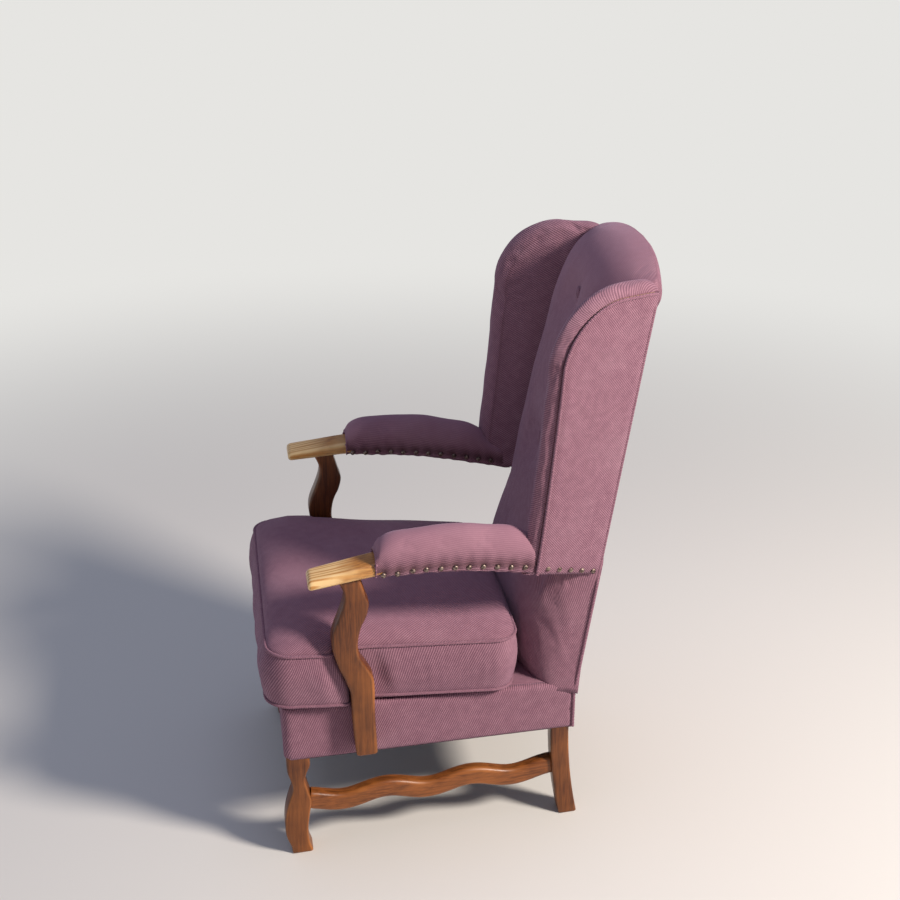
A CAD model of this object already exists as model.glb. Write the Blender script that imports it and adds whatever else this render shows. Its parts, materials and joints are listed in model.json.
# Looks of a high-back fireside chair with upholstered wings, show-wood arms, legs and stretchers.
# Metres, +Z up. The sitter faces -Y, and +X is the sitter's left.
import json
import math

import bmesh
import bpy
import numpy as np
from mathutils import Matrix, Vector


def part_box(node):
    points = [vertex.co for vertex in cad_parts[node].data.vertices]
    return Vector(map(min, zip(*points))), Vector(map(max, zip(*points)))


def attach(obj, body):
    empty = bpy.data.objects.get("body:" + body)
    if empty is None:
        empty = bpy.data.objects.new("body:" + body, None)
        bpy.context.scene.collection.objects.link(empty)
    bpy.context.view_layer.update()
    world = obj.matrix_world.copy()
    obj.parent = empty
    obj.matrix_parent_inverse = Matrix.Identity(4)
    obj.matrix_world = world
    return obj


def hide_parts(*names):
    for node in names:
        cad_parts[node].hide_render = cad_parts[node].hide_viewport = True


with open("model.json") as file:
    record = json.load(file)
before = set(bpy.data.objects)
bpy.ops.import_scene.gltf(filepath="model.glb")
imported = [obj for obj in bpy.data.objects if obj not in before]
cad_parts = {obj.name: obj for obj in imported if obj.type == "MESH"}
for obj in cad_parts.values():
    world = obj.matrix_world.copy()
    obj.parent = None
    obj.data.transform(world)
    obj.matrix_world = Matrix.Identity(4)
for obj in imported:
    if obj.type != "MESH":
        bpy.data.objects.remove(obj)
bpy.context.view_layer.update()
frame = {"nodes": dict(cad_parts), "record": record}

SIDES = (("left", 1.0), ("right", -1.0))

# Seat frame
seat_front_half = 0.262
seat_rear_half = 0.212
seat_depth = 0.543
rail_underside = 0.212
rail_top = 0.314
seat_rake = 0.045
bottom_rake = 0.018
deck_height = 0.0135
deck_rear = 0.5
cloth_thickness = 0.003
clearance = 0.0003
shell_thickness = 0.0024
seat_front_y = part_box("front_rail")[0].y
side_taper = (seat_front_half - seat_rear_half) / seat_depth

# Legs, posts and stretchers
leg_width = 0.043
leg_thickness = 0.042
post_thickness = 0.034
post_depth = 0.036
post_knee = 0.285
post_top = 1.046
recline = 0.155
foot_sweep = 0.023
foot_sweep_height = 0.21
stretcher_height = 0.039
stretcher_thickness = 0.028
stretcher_inset = 0.008
stretcher_centre = 0.102
stretcher_wave = 0.0075
stretcher_wavelength = 0.165
stretcher_first_crest = 0.187
wood_corner = 0.0045
wood_end_round = 0.003

# Arm supports and arms
support_place = 0.122
support_width = 0.042
support_thickness = 0.036
support_underside = 0.226
support_rear = support_place + support_width * 1.07
arm_front = 0.048
arm_length = 0.514
arm_width = 0.06
arm_rear_width = 0.051
arm_inset = 0.008
arm_thickness = 0.025
handle_tip_thickness = 0.018
arm_underside = 0.596
arm_dip = 0.05
arm_pad_start = 0.12
arm_pad_length = 0.332
arm_pad_height = 0.078
arm_pad_wrap = 0.005
arm_pad_round = 0.03
pad_tuck = 0.0025
board_in_wing = 0.0035
pad_in_wing = 0.008

# Back
back_pad_bottom = 0.302
back_wadding = 0.009
crest_height = 1.107
crest_drop = 0.034
crest_roll = 0.092
crest_overhang = 0.02
back_bow = 0.02
back_pad_side = 0.186
back_pad_depth = 0.092
back_crown = 0.024
side_round = 0.026
crease_softness = 0.03
rear_corner = 0.007
pad_ridge = 0.0016
ridge_tuck = 0.0024
ridge_tuck_reach = 0.008
welt_tuck = 0.012
welt_tuck_reach = 0.014
bare_crest = 0.97
lumbar_foot = 0.121
lumbar_rise = 0.242
button_heights = (1.0, 0.716)
button_radius = 0.012
button_depth = 0.014
button_spread = 0.034
button_hold = 0.02
fold_start = 0.03
fold_spread = 0.025
back_rise = crest_height - back_pad_bottom
crest_start = 1 - crest_roll / back_rise

# Wings
wing_lap = 0.004
wing_flare = 0.43
wing_thickness = 0.052
wing_reach = 0.188
wing_foot_reach = 0.164
wing_root = 0.046
wing_top = 1.081
wing_shoulder_height = 0.124
wing_shoulder_reach = 0.104
wing_straight = 0.66
wing_band = 0.024
wing_top_band = 0.018
wing_inner_band = 0.02
wing_front_foot = 0.566
wing_rear_foot = 0.528
wing_heel_drop = 0.02
wing_heel_reach = 0.04
side_hem = 0.024
seam_groove = 0.005
gather_depth = 0.0012
gather_pitch = 0.0085
shoulder_run = 0.47
shoulder_spread = 0.075
stitch_depth = 0.0007
stitch_pitch = 0.0075

# Seat cushion
cushion_front = -0.035
cushion_rear = 0.431
cushion_lobe_half = 0.279
cushion_lobe_round = 0.011
cushion_side_gap = 0.002
cushion_corner = 0.044
cushion_bottom_seam = 0.009
cushion_top_seam = 0.112
cushion_seam_inset = 0.003
cushion_crown = 0.038
cushion_side_bulge = 0.008
cushion_front_bulge = 0.012

# Sewing and nails
weld_distance = 2e-5
welt_radius = 0.003
welt_turn = 0.007
welt_step = 0.0014
bias_angle = 18
nail_radius = 0.005
nail_height = 0.003
nail_spacing = 0.0256
first_nail = 0.0113
nail_lift = 0.0045
nail_rise = 0.006
nail_jitter = 0.0007
arm_nail_count = 12
nail_pull = 0.0026
pull_spread = 0.0065
crease_depth = 0.001
swell_depth = 0.0007
hem_wave = 0.0009
soil_lift = 0.006
soil_spread = 0.0105
hem_points = 7
hem_columns = np.r_[0:hem_points, -hem_points:0]

# The pale backdrop behind the chair, which the floor fades into
backdrop_colour = "#e6e5e2"

# Shares of a leg's height and width, from the floor up
leg_front_shares = ((0, 0.12), (0.07, 0.08), (0.19, -0.12), (0.34, -0.15), (0.46, -0.07),
                    (0.57, 0.08), (0.67, 0.24), (0.74, 0.2), (0.86, 0.03), (1, 0))
leg_rear_shares = ((0, 1.05), (0.1, 0.9), (0.23, 0.85), (0.42, 0.95), (0.53, 1.03),
                   (0.63, 0.92), (0.75, 0.79), (0.83, 0.85), (0.9, 1), (1, 1))

# Shares of the arm support's height and width, from its foot up
support_front_shares = ((0, 0.14), (0.165, 0.02), (0.365, -0.07), (0.43, -0.24), (0.5, -0.48), (0.58, -0.71),
                        (0.654, -0.83), (0.72, -0.76), (0.8, -0.5), (0.874, -0.29), (0.93, -0.27), (1, -0.52))
support_rear_shares = ((0, 1.07), (0.255, 0.98), (0.387, 0.98), (0.44, 0.93), (0.49, 0.74), (0.558, 0.4),
                       (0.62, 0.29), (0.68, 0.33), (0.734, 0.45), (0.79, 0.67), (0.857, 0.79), (0.896, 0.69),
                       (1, 0.43))

# Shares of the arm's length and dip, and of the arm pad's length and height
arm_line_shares = ((0, 0.26), (0.1, 0.14), (0.22, 0), (0.29, -0.02), (0.42, 0.02),
                   (0.55, 0.14), (0.63, 0.26), (0.8, 0.56), (1, 0.96))
arm_pad_shares = ((0, 0.55), (0.02, 0.72), (0.08, 0.86), (0.17, 0.92), (0.27, 0.96), (0.42, 1),
                  (0.63, 1), (0.74, 0.97), (0.82, 0.88), (0.9, 0.7), (1, 0.62))

# Shares of the back pad's height, and of the depth that its front stands before the posts
back_front_shares = ((0, 0.62), (0.06, 0.79), (0.13, 0.89), (0.2, 1), (0.26, 0.94), (0.34, 0.81), (0.54, 0.78),
                     (0.75, 0.68), (0.92, 0.57), (1, 0.48))
back_corner_share = 0.36
crest_tip_share = 0.38
crest_fullness = 3.2
back_foot_softness = 0.2
back_core_share = 0.6
lower_crown_share = 0.3


# Curves and lines

def shares_at(table, at):
    """Smooth curve through a table of pairs: cubic spans whose end slopes join the two neighbours."""
    xs, ys = np.asarray(table, float).T
    before = np.maximum(np.arange(len(xs)) - 1, 0)
    after = np.minimum(np.arange(len(xs)) + 1, len(xs) - 1)
    slopes = (ys[after] - ys[before]) / (xs[after] - xs[before])
    at = np.clip(np.asarray(at, float), xs[0], xs[-1])
    i = np.clip(np.searchsorted(xs, at, side="right") - 1, 0, len(xs) - 2)
    span = xs[i + 1] - xs[i]
    t = (at - xs[i]) / span
    return (ys[i] + (ys[i + 1] - ys[i]) * (t * t * (3 - 2 * t))
            + span * (slopes[i] * t * (1 - t) ** 2 - slopes[i + 1] * t * t * (1 - t)))


def side_x(d, out=0.0):
    """Half-width of the tapering seat frame at a depth, plus an offset outwards."""
    return seat_front_half + out - side_taper * d


def post_line(z):
    """Rear face of the leaning posts, as a depth from the seat's front."""
    return seat_depth + (z - post_knee) * recline


def back_line(z):
    """Rear face of the wadding behind the posts."""
    return post_line(z) + back_wadding


def within(t):
    """The value, held between 0 and 1."""
    return np.clip(t, 0, 1)


def bell(x, width):
    """Bell curve exp(-(x / width)^2)."""
    return np.exp(-((x / width) ** 2))


def ease(t):
    """Smooth step from 0 to 1."""
    t = within(t)
    return t * t * (3 - 2 * t)


def quarter(count):
    """Angles of a quarter turn."""
    return np.linspace(0, math.pi / 2, count)


def unit(vectors):
    """The same directions at length one."""
    return vectors / np.maximum(np.linalg.norm(vectors, axis=-1, keepdims=True), 1e-9)


def paired(a, b):
    """Two values of each point, side by side."""
    return np.stack(np.broadcast_arrays(a, b), -1)


def place(x, d, z):
    """Points of the row frame from a sideways place, a depth from the seat's front and a height."""
    x, d, z = np.broadcast_arrays(x, d, z)
    return np.stack([x, d + seat_front_y, z], -1)


def ripple(a, b, wavelength, seed, waves=7):
    """Soft random field: a sum of sine waves of about one length, each with its own direction and phase."""
    rng = np.random.default_rng(seed)
    total = 0.0
    for _ in range(waves):
        turn, phase = rng.uniform(0, 2 * math.pi, 2)
        step = 2 * math.pi / (wavelength * rng.uniform(0.75, 1.4))
        total = total + np.sin(step * (a * math.cos(turn) + b * math.sin(turn)) + phase)
    return total / math.sqrt(waves)


def lengths(points, axis):
    """Distance along one direction of a grid or line, added up from its first point."""
    total = np.cumsum(np.linalg.norm(np.diff(points, axis=axis), axis=-1), axis=axis)
    return np.concatenate([np.zeros_like(np.take(total, [0], axis=axis)), total], axis=axis)


def spaced(path, step):
    """The same line with points at one spacing, found along its length."""
    run = lengths(path, 0)
    places = np.linspace(0, run[-1], max(int(run[-1] / step), 2))
    return np.stack([np.interp(places, run, path[:, k]) for k in range(3)], -1)


def rim(grid):
    """The points round the edge of a grid, once round and back to the first."""
    return np.concatenate([grid[0], grid[1:, -1], grid[-1, -2::-1], grid[-2::-1, 0]])


def marked(shape, rows=(), columns=(), value=1.0):
    """Marks for the points of a grid: a value on some rows and columns, and 0 elsewhere."""
    marks = np.zeros(shape)
    marks[list(rows)] = value
    marks[:, list(columns)] = value
    return marks


# Cloth and meshes

def cloth_uv(points):
    """Cloth coordinates in metres: length along each row from the middle column, and along each column."""
    across = lengths(points, 1)
    return np.stack([across - across[:, [across.shape[1] // 2]], lengths(points, 0)], -1)


def lay(uv, angle, fine=1.0):
    """Turns cloth coordinates, so that ribs along their first direction run at an angle in degrees."""
    cos, sin = math.cos(math.radians(angle)), math.sin(math.radians(angle))
    return np.stack([uv[..., 0] * cos + uv[..., 1] * sin, uv[..., 1] * cos - uv[..., 0] * sin], -1) * fine


def normals_of(points):
    """Unit normals of a grid: the cross product of its two directions."""
    return unit(np.cross(np.gradient(points, axis=0), np.gradient(points, axis=1)))


def patch(points, uv=None, **marks):
    """A grid of points with its cloth coordinates and any named values of its points."""
    return {"points": points, "uv": lay(cloth_uv(points), 62) if uv is None else uv, "marks": marks}


def linked(name, data):
    """A new object with its data, in the scene."""
    made = bpy.data.objects.new(name, data)
    bpy.context.scene.collection.objects.link(made)
    return made


def piece_from(name, patches, material, body="frame", node=None, wall=0.0):
    """One mesh from grids of quads: shared rims are welded and the faces are turned to point outwards."""
    marks = {mark: [] for mark in sorted({mark for part in patches for mark in part["marks"]})}
    points, quads, uvs, start = [], [], [], 0
    for part in patches:
        shape = part["points"].shape[:2]
        index = np.arange(shape[0] * shape[1]).reshape(shape)
        quad = np.stack([index[:-1, :-1], index[:-1, 1:], index[1:, 1:], index[1:, :-1]], -1).reshape(-1, 4)
        points.append(part["points"].reshape(-1, 3))
        quads.append(quad + start)
        uvs.append(part["uv"].reshape(-1, 2)[quad.reshape(-1)])
        for mark, values in marks.items():
            values.append(np.broadcast_to(part["marks"].get(mark, 0.0), shape).reshape(-1))
        start += index.size
    mesh = bpy.data.meshes.new(name)
    mesh.from_pydata(np.concatenate(points).tolist(), [], np.concatenate(quads).tolist())
    layer = mesh.uv_layers.new(name="cloth")
    layer.data.foreach_set("uv", np.concatenate(uvs).astype(np.float32).reshape(-1))
    for mark, values in marks.items():
        attribute = mesh.attributes.new(mark, "FLOAT", "POINT")
        attribute.data.foreach_set("value", np.concatenate(values).astype(np.float32))
    work = bmesh.new()
    work.from_mesh(mesh)
    bmesh.ops.remove_doubles(work, verts=work.verts, dist=weld_distance)
    bmesh.ops.recalc_face_normals(work, faces=work.faces)
    work.to_mesh(mesh)
    work.free()
    mesh.shade_smooth()
    mesh.materials.append(material)
    piece = linked(name, mesh)
    if wall:
        thickening = piece.modifiers.new("cloth wall", "SOLIDIFY")
        thickening.thickness = wall
        thickening.offset = -1
    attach(piece, body)
    if node:
        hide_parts(node)
    return piece


def cover(name, patches, node, body="frame", wall=shell_thickness):
    """A piece of the twill that stands for one node."""
    return piece_from(name, patches, twill, body, node, wall)


def inflate(piece, pressure, slack, cap, frames=18, stiffness=12.0):
    """Blows a cover up from inside as cloth held at its seams, and keeps each point within a cap of its start."""
    mesh = piece.data
    held = np.zeros(len(mesh.vertices), np.float32)
    mesh.attributes["held"].data.foreach_get("value", held)
    group = piece.vertex_groups.new(name="held")
    for weight in (0.25, 0.5, 0.75, 1.0):
        chosen = np.nonzero(np.abs(held - weight) < 0.125)[0]
        if len(chosen):
            group.add(chosen.tolist(), weight, "REPLACE")
    before, after = np.zeros((2, len(mesh.vertices) * 3), np.float32)
    mesh.vertices.foreach_get("co", before)
    walls = [m.name for m in piece.modifiers]
    for name in walls:
        piece.modifiers[name].show_viewport = False
    cloth = piece.modifiers.new("cloth", "CLOTH")
    settings = cloth.settings
    settings.quality = 6
    settings.mass = 0.4
    settings.tension_stiffness = settings.compression_stiffness = stiffness
    settings.shear_stiffness = stiffness / 2
    settings.bending_stiffness = 0.6
    settings.use_pressure = True
    settings.uniform_pressure_force = pressure
    settings.shrink_min = -slack
    settings.vertex_group_mass = "held"
    settings.effector_weights.gravity = 0
    cloth.collision_settings.use_collision = False
    scene = bpy.context.scene
    for step in range(1, frames + 1):
        scene.frame_set(step)
    solved = piece.evaluated_get(bpy.context.evaluated_depsgraph_get()).to_mesh()
    solved.vertices.foreach_get("co", after)
    piece.modifiers.remove(cloth)
    scene.frame_set(1)
    move = (after - before).reshape(-1, 3)
    length = np.linalg.norm(move, axis=1, keepdims=True)
    move = move * np.minimum(1, cap / np.maximum(length, 1e-9)) * (1 - np.minimum(held, 1))[:, None]
    mesh.vertices.foreach_set("co", before + move.reshape(-1))
    piece.vertex_groups.remove(group)
    for name in walls:
        piece.modifiers[name].show_viewport = True
    mesh.update()


def welt_along(name, path, radius, up, body="frame", closed=False, swelling=0.07):
    """Welt: a cord in a bias strip of the twill, whose ribs wind round it and swell where the cord lies.

    Square to the path at each point lies a ring of radius (cos a, sin a), and the radius swells and shrinks by
    a share as cos(a - 2 pi s / welt_turn)."""
    path = spaced(path, welt_step)
    tangent = np.gradient(path, axis=0)
    if closed:
        tangent[0] = tangent[-1] = path[1] - path[-2]
    tangent = unit(tangent)
    first = unit(np.cross(tangent, np.broadcast_to(up, path.shape)))
    second = np.cross(first, tangent)
    turn = np.linspace(0, 2 * math.pi, 11)
    ring = first[:, None] * np.cos(turn)[None, :, None] + second[:, None] * np.sin(turn)[None, :, None]
    run = lengths(path, 0)
    turns_per_metre = max(round(run[-1] / welt_turn), 1) / run[-1]
    winding = np.cos(turn[None] - 2 * math.pi * run[:, None] * turns_per_metre)
    points = path[:, None] + radius * (1 + swelling * winding)[..., None] * ring
    if not closed:
        ends = [np.repeat(path[[k]][:, None], len(turn), 1) for k in (0, -1)]
        points = np.concatenate([ends[0], points, ends[1]])
    piece_from(name, [patch(points, lay(cloth_uv(points), bias_angle))], piping, body)


# Materials

def linear(hex_colour, alpha=1.0):
    """Linear colour from an sRGB hex value."""
    channels = [int(hex_colour[k:k + 2], 16) / 255 for k in (1, 3, 5)]
    return tuple(c / 12.92 if c <= 0.04045 else ((c + 0.055) / 1.055) ** 2.4 for c in channels) + (alpha,)


def feed(tree, node, inputs):
    """Fills a node's inputs. Each gets a value, a socket to link from, or a node that stands for its result."""
    for key, value in dict(inputs).items():
        if isinstance(value, bpy.types.Node):
            value = value.outputs["Result" if "Result" in value.outputs else 0]
        if isinstance(value, bpy.types.NodeSocket):
            tree.links.new(value, node.inputs[key])
        else:
            node.inputs[key].default_value = value


def add(tree, kind, inputs=(), **settings):
    """A node with its settings and inputs."""
    made = tree.nodes.new(kind)
    for key, value in settings.items():
        setattr(made, key, value)
    feed(tree, made, inputs)
    return made


def noise(tree, space, scale=1.0, detail=2.0, **inputs):
    """Soft noise over a space, with about scale waves to its unit."""
    return add(tree, "ShaderNodeTexNoise", {"Vector": space, "Scale": scale, "Detail": detail} | inputs)


def remap(tree, value, low=0.0, high=1.0, to_low=0.0, to_high=1.0, **settings):
    """From one range to another, and level beyond its ends."""
    ends = {"From Min": low, "From Max": high, "To Min": to_low, "To Max": to_high}
    return add(tree, "ShaderNodeMapRange", {"Value": value} | ends, **settings)


def maths(tree, operation, *values, kind="ShaderNodeMath", **settings):
    """One sum on numbers, or on vectors where kind names that node."""
    return add(tree, kind, dict(enumerate(values)), operation=operation, **settings)


def blend(tree, factor, *colours):
    """Mix of two colours, each a hex value or a node."""
    first, second = (linear(colour) if isinstance(colour, str) else colour for colour in colours)
    return add(tree, "ShaderNodeMix", {"Factor": factor, "A": first, "B": second}, data_type="RGBA")


def bump(tree, height, strength, distance):
    """Relief that tilts the shading, for threads and pores too fine for the mesh."""
    return add(tree, "ShaderNodeBump", {"Height": height, "Strength": strength, "Distance": distance})


def scaled(tree, space, scale):
    """A space stretched along its axes."""
    return add(tree, "ShaderNodeMapping", {"Vector": space, "Scale": scale})


def marks_of(tree, name):
    """The values that a mesh carries under a name."""
    return add(tree, "ShaderNodeAttribute", attribute_name=name).outputs["Fac"]


def new_material(name):
    """The tree of a new material, and a function that fills its shader's inputs and returns the material."""
    material = bpy.data.materials.new(name)
    material.use_nodes = True
    tree = material.node_tree

    def finish(**inputs):
        feed(tree, tree.nodes["Principled BSDF"], {key.replace("_", " "): value for key, value in inputs.items()})
        return material
    return tree, finish


def object_space(tree):
    """The object's own coordinates in metres."""
    return add(tree, "ShaderNodeTexCoord").outputs["Object"]


def upholstery_twill(name, cloth_colour, groove_colour, faded_colour, rib_pitch=0.0036):
    """Wool twill: ribs run along the cloth's first direction, with a fuzzy face that fades where it is worn."""
    tree, finish = new_material(name)
    vector = {"kind": "ShaderNodeVectorMath"}
    uv = add(tree, "ShaderNodeUVMap", uv_map="cloth")
    drift = maths(tree, "SUBTRACT", noise(tree, uv, 38).outputs["Color"], (0.5, 0.5, 0.5), **vector)
    shifted = maths(tree, "MULTIPLY_ADD", drift, (0.0022,) * 3, uv, **vector)
    phase = maths(tree, "DOT_PRODUCT", shifted, (0, 1 / rib_pitch, 0), **vector)
    wave = maths(tree, "SINE", maths(tree, "MULTIPLY", phase.outputs["Value"], 2 * math.pi))
    rib = remap(tree, wave, -1, 1)
    threads = noise(tree, uv, 620, Roughness=0.7)
    patches = noise(tree, uv, 60, 3)
    strength = remap(tree, patches, 0.35, 0.65, 1.1, 1.7)
    full = maths(tree, "MULTIPLY", maths(tree, "MULTIPLY", rib, threads), strength, use_clamp=True)
    smooth = maths(tree, "MULTIPLY", marks_of(tree, "rubbed"), 0.7)
    ribbed = add(tree, "ShaderNodeMix", {"Factor": smooth, "A": full, "B": 0.62})
    cloth = blend(tree, ribbed, groove_colour, cloth_colour)
    faded = remap(tree, noise(tree, uv, 5, 4, Roughness=0.6), 0.5, 0.75, 0, 0.22)
    worn = blend(tree, faded, cloth, faded_colour)
    grime = remap(tree, patches, 0.3, 0.7, 0.75, 1)
    stain = maths(tree, "MULTIPLY", marks_of(tree, "soiled"), grime, use_clamp=True)
    relief = maths(tree, "MULTIPLY", rib, maths(tree, "MULTIPLY_ADD", smooth, -1, 1))
    height = maths(tree, "MULTIPLY_ADD", threads, 0.6, relief)
    return finish(Base_Color=blend(tree, stain, worn, "#55363a"), Normal=bump(tree, height, 0.5, 0.0009),
                  Roughness=0.92, Specular_IOR_Level=0.25, Sheen_Weight=0.22, Sheen_Roughness=0.45,
                  Sheen_Tint=linear("#d2bfde"))


def varnished_beech(name, pale, deep, worn, along, coat=0.15, grain_width=0.0045, bleached=None):
    """Steamed beech under varnish: long dark grain streaks along the wood, with pale wear on the edges.

    bleached holds a paler colour and the two places along Y between which the sun's bleaching runs out."""
    tree, finish = new_material(name)
    space = object_space(tree)
    stretch = [1 / grain_width] * 3
    stretch["xyz".index(along)] = 1 / (grain_width * 16)
    grain = noise(tree, scaled(tree, space, stretch), 1, 4, Roughness=0.62, Distortion=0.5)
    pores = noise(tree, scaled(tree, space, [s * 4.5 for s in stretch]))
    cloudy = noise(tree, space, 9, 3)
    tone = blend(tree, remap(tree, grain, 0.36, 0.64), deep, pale)
    pored = blend(tree, remap(tree, pores, 0.52, 0.72, 0, 0.45), tone, deep)
    colour = blend(tree, remap(tree, cloudy, 0.42, 0.68, 0, 0.4), pored, worn)
    if bleached:
        paler, low, high = bleached
        depth = add(tree, "ShaderNodeSeparateXYZ", {"Vector": space}).outputs["Y"]
        reach = remap(tree, maths(tree, "MULTIPLY_ADD", cloudy, 0.05, depth), low, high, 1, 0)
        rings = add(tree, "ShaderNodeTexWave", {"Vector": scaled(tree, space, (1 / 0.03, 1 / 0.4, 1 / 0.05)),
                                                "Scale": 1.0, "Distortion": 7.0, "Detail": 2.0,
                                                "Detail Scale": 1.5}, bands_direction="X")
        lined = blend(tree, remap(tree, rings.outputs["Fac"], 0.05, 0.5), pale, paler)
        colour = blend(tree, reach, colour, lined)
    rubbed = maths(tree, "MULTIPLY", marks_of(tree, "wear"), remap(tree, cloudy, 0.42, 0.66))
    return finish(Base_Color=blend(tree, rubbed, colour, worn), Roughness=remap(tree, cloudy, 0.3, 0.7, 0.3, 0.5),
                  Normal=bump(tree, pores, 0.18, 0.0004), Specular_IOR_Level=0.35, Coat_Weight=coat,
                  Coat_Roughness=0.28)


def sawn_wood(name, pale, deep):
    """Unfinished sawn beech of the hidden frame: dull, with faint saw marks and streaks."""
    tree, finish = new_material(name)
    grain = noise(tree, scaled(tree, object_space(tree), (60, 60, 240)), 1, 4)
    return finish(Base_Color=blend(tree, grain, deep, pale), Normal=bump(tree, grain, 0.3, 0.0005), Roughness=0.8)


def woven_cloth(name, light, dark, pitch):
    """Plain woven cloth, such as dust lining or jute webbing: threads over and under at one pitch."""
    tree, finish = new_material(name)
    space = scaled(tree, object_space(tree), (1 / pitch,) * 3)
    threads = add(tree, "ShaderNodeTexVoronoi", {"Vector": space, "Scale": 1.0}).outputs["Distance"]
    return finish(Base_Color=blend(tree, threads, light, dark), Normal=bump(tree, threads, 0.4, pitch / 3),
                  Roughness=0.95)


def old_brass(name, bright, dull):
    """Antiqued brass of dome nails: dark lacquer worn off the tops, pitted and half polished."""
    tree, finish = new_material(name)
    pits = noise(tree, object_space(tree), 260, 3)
    return finish(Base_Color=blend(tree, remap(tree, pits, 0.4, 0.62), dull, bright),
                  Roughness=remap(tree, pits, 0, 1, 0.38, 0.6), Normal=bump(tree, pits, 0.2, 0.0003), Metallic=1.0)


def plated_steel(name):
    """Zinc-plated bolts: grey metal with a faint cloudy bloom."""
    tree, finish = new_material(name)
    bloom = noise(tree, object_space(tree), 180)
    return finish(Roughness=remap(tree, bloom, 0, 1, 0.3, 0.55), Base_Color=linear("#a9a8a4"), Metallic=1.0)


twill = upholstery_twill("mauve wool twill", "#ac808f", "#6f4a5a", "#b28f9b")
piping = upholstery_twill("mauve twill piping", "#ad8290", "#70495a", "#b7939f", rib_pitch=0.003)
handle_light_end = seat_front_y + arm_front + 0.072
upright_beech = varnished_beech("upright varnished beech", "#74401c", "#4a2510", "#a8662f", "z")
level_beech = varnished_beech("lengthwise varnished beech", "#925428", "#5f3317", "#a8662f", "y")
handle_beech = varnished_beech("sun-bleached handle beech", "#c48845", "#98602c", "#ecc98f", "y", coat=0.2,
                               grain_width=0.0035, bleached=("#edc88f", handle_light_end, handle_light_end + 0.035))
raw_beech = sawn_wood("sawn frame beech", "#c8a779", "#a07d52")
dust_lining = woven_cloth("black dust lining", "#3a3638", "#1f1c1e", 0.0012)
jute = woven_cloth("jute webbing", "#b3a384", "#7d6f55", 0.0022)
brass = old_brass("antique brass nails", "#a39389", "#54433d")
steel = plated_steel("zinc-plated steel")


# Carved wood

def bar_stations(length, end_round, count):
    """Places along a bar and how far its section is drawn in there, with both ends rounded over."""
    turn = quarter(5)
    start = end_round * (1 - np.cos(turn)) / length
    inset = end_round * (1 - np.sin(turn))
    body = np.linspace(end_round / length, 1 - end_round / length, count)[1:-1]
    along = np.concatenate([start, body, 1 - start[::-1]])
    return along, np.concatenate([inset, np.zeros(len(body)), inset[::-1]])


def carved_bar(first, second, inner, outer, corner, inset):
    """Skin of a carved bar: at each station a rectangle with round corners between two edges and two faces.

    first and second hold depth and height of the two edges, and inner and outer their sideways places
    counted from the tapering side of the seat frame. The section's corners are quarter circles.
    """
    span = np.linalg.norm(second - first, axis=1)
    direction = (second - first) / span[:, None]
    tight = np.minimum(corner, np.minimum(span, outer - inner) / 2 - inset - 0.0001)
    ring, wear = [], []
    for across, face, start in ((1, 1, 0), (0, 1, 1), (0, 0, 2), (1, 0, 3)):
        for a in quarter(5) + start * math.pi / 2:
            offset = inset + tight * (1 - math.cos(a) * (1 if across else -1))
            depth_offset = inset + tight * (1 - math.sin(a) * (1 if face else -1))
            along = span - offset if across else offset
            sideways = outer - depth_offset if face else inner + depth_offset
            centre = first + direction * along[:, None]
            ring.append(place(side_x(centre[:, 0]) + sideways, centre[:, 0], centre[:, 1]))
            wear.append(math.sin(2 * (a % (math.pi / 2))))
    points = np.stack(ring + ring[:1], 1)
    caps = [np.repeat(points[[k], :-1].mean(1, keepdims=True), points.shape[1], 1) for k in (0, -1)]
    return np.concatenate([caps[0], points, caps[1]]), np.array(wear + wear[:1])


def wood_piece(name, side, first, second, inner, outer, inset, material=upright_beech, slot="show_wood",
               corner=wood_corner):
    """One carved bar in its place of the CAD, with its wear marked on the rounded corners."""
    points, wear = carved_bar(first, second, inner, outer, corner, inset)
    piece_from(name, [patch(points * (side, 1, 1), wear=wear[None])], material, node=name)


def front_leg(name, side):
    """Waved leg: its front and rear edge follow their own shares up to the rail, and are straight above it."""
    along, inset = bar_stations(rail_top, wood_end_round, 90)
    z = along * rail_top
    share = np.minimum(z / rail_underside, 1)
    edges = [paired(leg_width * shares_at(table, share), z) for table in (leg_front_shares, leg_rear_shares)]
    wood_piece(name, side, *edges, -leg_thickness, 0.0, inset)


def post_rear(z):
    """Rear face of a post: swept back at its foot by a square of the height left, and leaning over its knee."""
    swept = within(1 - z / foot_sweep_height)
    return seat_depth + np.maximum(z - post_knee, 0) * recline + foot_sweep * swept ** 2


def rear_post(name, side):
    """Back leg and upright in one, of one depth all the way up."""
    along, inset = bar_stations(post_top, wood_end_round, 70)
    z = along * post_top
    second = paired(post_rear(z), z)
    wood_piece(name, side, second - (post_depth, 0), second, -post_thickness, 0.0, inset)


def side_stretcher(name, side):
    """Waved bar between the legs: a cosine of 7.5 mm with a crest every 165 mm."""
    low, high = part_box(name)
    start, end = low.y - seat_front_y, high.y - seat_front_y
    along, inset = bar_stations(end - start, 0.0005, 110)
    d = start + (end - start) * along
    turn = 2 * math.pi / stretcher_wavelength
    phase = turn * (d - stretcher_first_crest)
    middle = paired(d, stretcher_centre + stretcher_wave * np.cos(phase))
    lean = -stretcher_wave * turn * np.sin(phase)
    square = paired(-lean, 1.0) / np.sqrt(1 + lean ** 2)[:, None] * (stretcher_height / 2 * 0.97)
    wood_piece(name, side, middle - square, middle + square, -stretcher_inset - stretcher_thickness,
               -stretcher_inset, inset, level_beech, corner=0.009)


def arm_under(d):
    """Underside of the dipping arm board."""
    return arm_underside - arm_dip * shares_at(arm_line_shares, (d - arm_front) / arm_length)


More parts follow.
